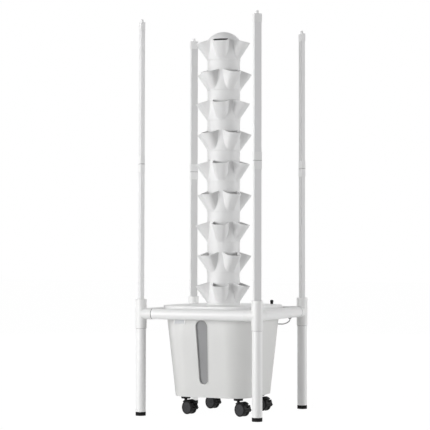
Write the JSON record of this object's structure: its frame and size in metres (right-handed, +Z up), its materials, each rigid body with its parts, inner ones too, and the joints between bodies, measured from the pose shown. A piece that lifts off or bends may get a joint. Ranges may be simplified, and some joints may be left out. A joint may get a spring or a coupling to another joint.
{
  "type": "hydroponic tower garden",
  "caption": "Indoor hydroponic tower garden: planting tiers stacked over a wheeled water tank, inside a square pipe stand with a column of light bars on each corner.",
  "frame": {"origin": "middle of the stand on the floor, under the tower's axis", "axes": "+Z up along the tower, -Y towards the wall of the tank that has the level window"},
  "size_m": [0.436, 0.436, 1.268],
  "materials": {
    "white_pipe": "satin white pipe",
    "foot_rubber": "matt black",
    "bar_white": "satin white",
    "diffuser": "frosted",
    "lamp_board": "lamp board",
    "tank_white": "matt white",
    "smoke_pane": "smoked",
    "lid_white": "matt white",
    "black_rubber": "matt black",
    "tower_white": "matt white",
    "pump_black": "matt black",
    "rotor_grey": "matt grey",
    "lead_grey": "light grey",
    "caster_black": "matt black",
    "wheel_black": "dark grey",
    "steel": "bright"
  },
  "bodies": {
    "garden": {"leg_front_left": "white_pipe", "leg_front_right": "white_pipe", "leg_back_right": "white_pipe", "leg_back_left": "white_pipe", "tee_front_left": "white_pipe", "tee_front_right": "white_pipe", "tee_back_right": "white_pipe", "tee_back_left": "white_pipe", "rail_front": "white_pipe", "rail_right": "white_pipe", "rail_back": "white_pipe", "rail_left": "white_pipe", "foot_caps": "foot_rubber", "bar_bushes": "white_pipe", "bar_housings": "bar_white", "lamp_strips": "lamp_board", "diffusers": "diffuser", "plug_end_caps": "bar_white", "socket_end_caps": "bar_white", "tip_plugs": "bar_white", "tank": "tank_white", "window_pane": "smoke_pane", "lid": "lid_white", "tier_1": "tower_white", "tier_2": "tower_white", "tier_3": "tower_white", "tier_4": "tower_white", "tier_5": "tower_white", "tier_6": "tower_white", "tier_7": "tower_white", "tier_8": "tower_white", "tier_9": "tower_white", "riser_pipe": "tower_white", "distributor": "tower_white", "pump_housing": "pump_black", "inlet_strainer": "pump_black", "suction_cups": "black_rubber", "link_lead": "lead_grey", "lead_grommets": "lead_grey", "caster_flanges": "caster_black", "caster_stems": "steel"},
    "cap": {"top_cap": "tower_white"},
    "plug": {"fill_plug": "black_rubber"},
    "rotor": {"impeller": "rotor_grey"},
    "swivel_front_left": {"hood_front_left": "caster_black"},
    "rolling_front_left": {"wheels_front_left": "wheel_black", "axle_front_left": "steel"},
    "brake_front_left": {"pedal_front_left": "caster_black"},
    "swivel_front_right": {"hood_front_right": "caster_black"},
    "rolling_front_right": {"wheels_front_right": "wheel_black", "axle_front_right": "steel"},
    "brake_front_right": {"pedal_front_right": "caster_black"},
    "swivel_back_right": {"hood_back_right": "caster_black"},
    "rolling_back_right": {"wheels_back_right": "wheel_black", "axle_back_right": "steel"},
    "brake_back_right": {"pedal_back_right": "caster_black"},
    "swivel_back_left": {"hood_back_left": "caster_black"},
    "rolling_back_left": {"wheels_back_left": "wheel_black", "axle_back_left": "steel"},
    "brake_back_left": {"pedal_back_left": "caster_black"}
  },
  "joints": [
    {"name": "cap_lift", "type": "slide", "parent": "garden", "child": "cap", "axis": [0, 0, 1], "range_m": [0, 0.06]},
    {"name": "plug_pull", "type": "slide", "parent": "garden", "child": "plug", "axis": [0, 0, 1], "range_m": [0, 0.02]},
    {"name": "impeller_spin", "type": "hinge", "parent": "garden", "child": "rotor", "pos_m": [0, 0, 0.0885], "axis": [1, 0, 0], "continuous": true},
    {"name": "swivel_front_left", "type": "hinge", "parent": "garden", "child": "swivel_front_left", "pos_m": [-0.092, -0.092, 0.045], "axis": [0, 0, 1], "continuous": true},
    {"name": "wheel_spin_front_left", "type": "hinge", "parent": "swivel_front_left", "child": "rolling_front_left", "pos_m": [-0.07697, -0.09747, 0.0215], "axis": [0.342, 0.9397, 0], "continuous": true},
    {"name": "brake_front_left", "type": "hinge", "parent": "swivel_front_left", "child": "brake_front_left", "pos_m": [-0.0575, -0.10456, 0.03495], "axis": [-0.342, -0.9397, 0], "range_deg": [0, 18]},
    {"name": "swivel_front_right", "type": "hinge", "parent": "garden", "child": "swivel_front_right", "pos_m": [0.092, -0.092, 0.045], "axis": [0, 0, 1], "continuous": true},
    {"name": "wheel_spin_front_right", "type": "hinge", "parent": "swivel_front_right", "child": "rolling_front_right", "pos_m": [0.10704, -0.09747, 0.0215], "axis": [0.342, 0.9397, 0], "continuous": true},
    {"name": "brake_front_right", "type": "hinge", "parent": "swivel_front_right", "child": "brake_front_right", "pos_m": [0.1265, -0.10456, 0.03495], "axis": [-0.342, -0.9397, 0], "range_deg": [0, 18]},
    {"name": "swivel_back_right", "type": "hinge", "parent": "garden", "child": "swivel_back_right", "pos_m": [0.092, 0.092, 0.045], "axis": [0, 0, 1], "continuous": true},
    {"name": "wheel_spin_back_right", "type": "hinge", "parent": "swivel_back_right", "child": "rolling_back_right", "pos_m": [0.10704, 0.08653, 0.0215], "axis": [0.342, 0.9397, 0], "continuous": true},
    {"name": "brake_back_right", "type": "hinge", "parent": "swivel_back_right", "child": "brake_back_right", "pos_m": [0.1265, 0.07944, 0.03495], "axis": [-0.342, -0.9397, 0], "range_deg": [0, 18]},
    {"name": "swivel_back_left", "type": "hinge", "parent": "garden", "child": "swivel_back_left", "pos_m": [-0.092, 0.092, 0.045], "axis": [0, 0, 1], "continuous": true},
    {"name": "wheel_spin_back_left", "type": "hinge", "parent": "swivel_back_left", "child": "rolling_back_left", "pos_m": [-0.07697, 0.08653, 0.0215], "axis": [0.342, 0.9397, 0], "continuous": true},
    {"name": "brake_back_left", "type": "hinge", "parent": "swivel_back_left", "child": "brake_back_left", "pos_m": [-0.0575, 0.07944, 0.03495], "axis": [-0.342, -0.9397, 0], "range_deg": [0, 18]}
  ]
}
